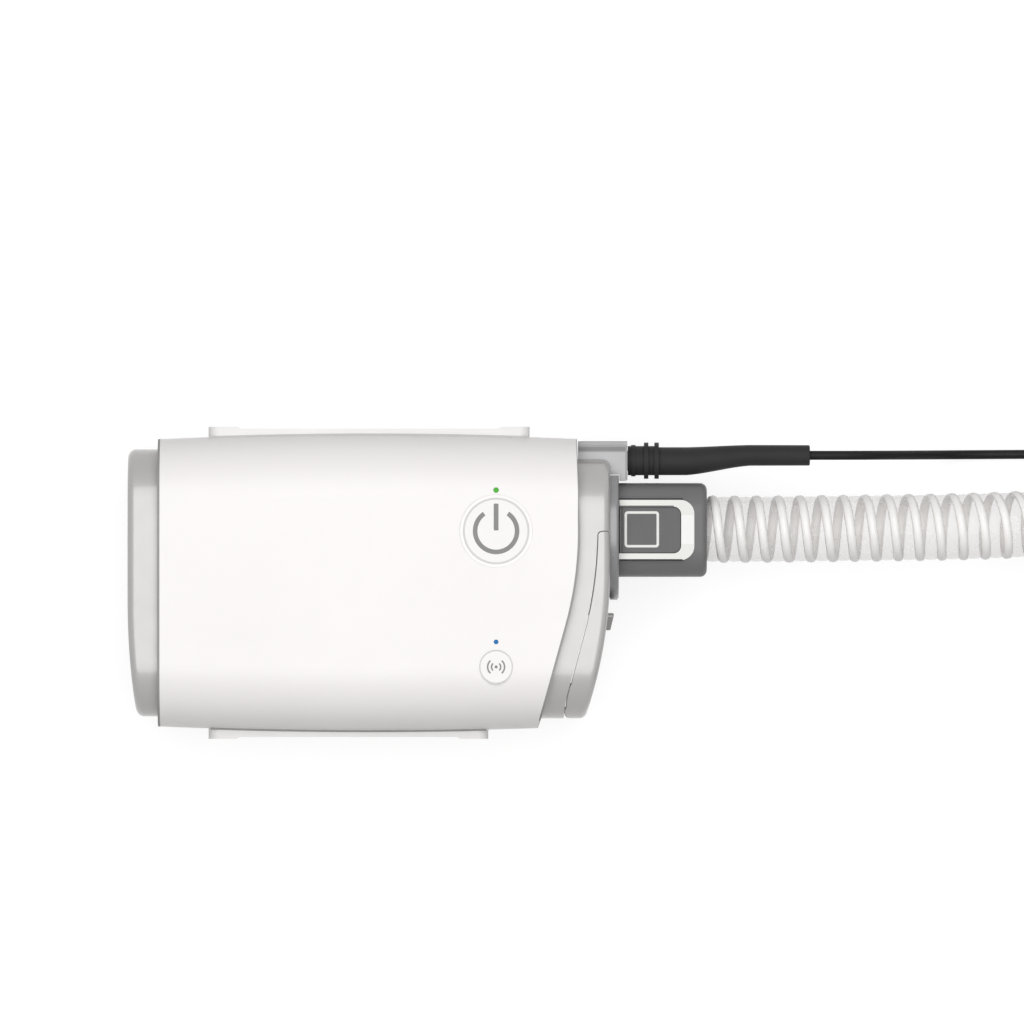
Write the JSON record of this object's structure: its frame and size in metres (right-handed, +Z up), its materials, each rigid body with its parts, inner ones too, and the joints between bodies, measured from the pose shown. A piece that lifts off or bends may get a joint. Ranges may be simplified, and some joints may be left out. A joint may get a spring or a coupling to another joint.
{
  "type": "cpap machine",
  "caption": "Small travel CPAP machine with a barrel-shaped white sleeve, push buttons, hinged filter cover, spiral hose and plug-in power lead.",
  "frame": {"origin": "centre of the machine's footprint on the surface it lies on, without the hose and the lead", "axes": "+Z up, +X towards the hose and lead end, +Y towards the long side with the power socket"},
  "size_m": [0.4568, 0.2262, 0.0654],
  "materials": {
    "white_shell": "smooth semi-gloss white moulded plastic",
    "grey_shell": "satin light grey moulded plastic",
    "collar_grey": "satin mid grey moulded plastic",
    "socket_grey": "satin grey moulded plastic",
    "pad_white": "soft-touch white moulded plastic",
    "foot_rubber": "matte grey rubber",
    "button_white": "smooth white moulded plastic with a grey symbol",
    "green_lens": "translucent green light pipe",
    "blue_lens": "translucent blue light pipe",
    "steel": "plain machined steel",
    "foam": "open-cell grey foam",
    "filter_media": "white pleated filter fibre",
    "inner_plastic": "matte dark moulded plastic",
    "board_green": "green soldermask board",
    "black_part": "matte black plastic",
    "wheel": "smooth light moulded plastic",
    "seal_rubber": "matte dark rubber",
    "cuff_grey": "satin dark grey moulded plastic",
    "stripe_white": "satin white moulded plastic",
    "hose_film": "thin translucent film with a white spiral bead",
    "mask_cuff_grey": "soft grey elastomer",
    "lead_black": "satin black cable jacket",
    "plug_black": "matte black moulded plastic",
    "strap": "soft dark strap",
    "brass_blade": "plain bright contact metal"
  },
  "bodies": {
    "machine": {"outer_sleeve": "white_shell", "left_end_cap": "grey_shell", "end_frame": "grey_shell", "outlet_collar": "collar_grey", "outlet_port": "inner_plastic", "outlet_seal": "seal_rubber", "socket_housing": "socket_grey", "dc_jack": "black_part", "rear_side_pad": "pad_white", "front_side_pad": "pad_white", "underside_feet": "foot_rubber", "power_light": "green_lens", "wireless_light": "blue_lens", "hinge_pin": "steel", "air_filter": "filter_media", "chassis_tray": "inner_plastic", "circuit_board": "board_green", "button_switches": "black_part", "chassis_screws": "steel", "radio_module": "steel", "blower_base": "inner_plastic", "blower_cover": "inner_plastic", "motor_stator": "steel", "motor_bearings": "steel", "blower_mounts": "foot_rubber", "outlet_duct": "inner_plastic", "intake_silencer": "foam", "flow_sensor": "black_part"},
    "power_button": {"power_button": "button_white"},
    "wireless_button": {"wireless_button": "button_white"},
    "cover": {"filter_cover": "grey_shell"},
    "rotor": {"impeller": "wheel", "motor_shaft": "steel"},
    "hose": {"hose_cuff": "cuff_grey", "cuff_stripe": "stripe_white", "hose_tube": "hose_film", "hose_coil": "hose_film", "hose_tie": "strap", "mask_cuff": "mask_cuff_grey"},
    "release_top": {"release_button_top": "cuff_grey"},
    "release_bottom": {"release_button_bottom": "cuff_grey"},
    "lead": {"plug_body": "plug_black", "plug_boot": "plug_black", "lead_tube": "lead_black", "lead_coil": "lead_black", "lead_tail": "lead_black", "lead_tie": "strap", "wall_adapter": "plug_black", "adapter_blades": "brass_blade"}
  },
  "joints": [
    {"name": "power_button_press", "type": "slide", "parent": "machine", "child": "power_button", "axis": [0, 0, -1], "range_m": [0, 0.0007], "stiffness_N_per_m": 1500, "springref_m": -0.0004},
    {"name": "wireless_button_press", "type": "slide", "parent": "machine", "child": "wireless_button", "axis": [0, 0, -1], "range_m": [0, 0.0005], "stiffness_N_per_m": 1500, "springref_m": -0.0004},
    {"name": "filter_cover_hinge", "type": "hinge", "parent": "machine", "child": "cover", "pos_m": [0.0527, -0.0352, 0.0266], "axis": [0, 0, -1], "range_deg": [0, 90]},
    {"name": "blower_spin", "type": "hinge", "parent": "machine", "child": "rotor", "pos_m": [-0.018, -0.006, 0.02], "axis": [0, 0, -1], "continuous": true},
    {"name": "hose_pull", "type": "slide", "parent": "machine", "child": "hose", "axis": [1, 0, 0], "range_m": [0, 0.015]},
    {"name": "release_top_squeeze", "type": "slide", "parent": "hose", "child": "release_top", "axis": [0, 0, -1], "range_m": [0, 0.0006], "stiffness_N_per_m": 1500, "springref_m": -0.0004},
    {"name": "release_bottom_squeeze", "type": "slide", "parent": "hose", "child": "release_bottom", "axis": [0, 0, 1], "range_m": [0, 0.0006], "stiffness_N_per_m": 1500, "springref_m": -0.0004},
    {"name": "plug_pull", "type": "slide", "parent": "machine", "child": "lead", "axis": [1, 0, 0], "range_m": [0, 0.0095]}
  ]
}
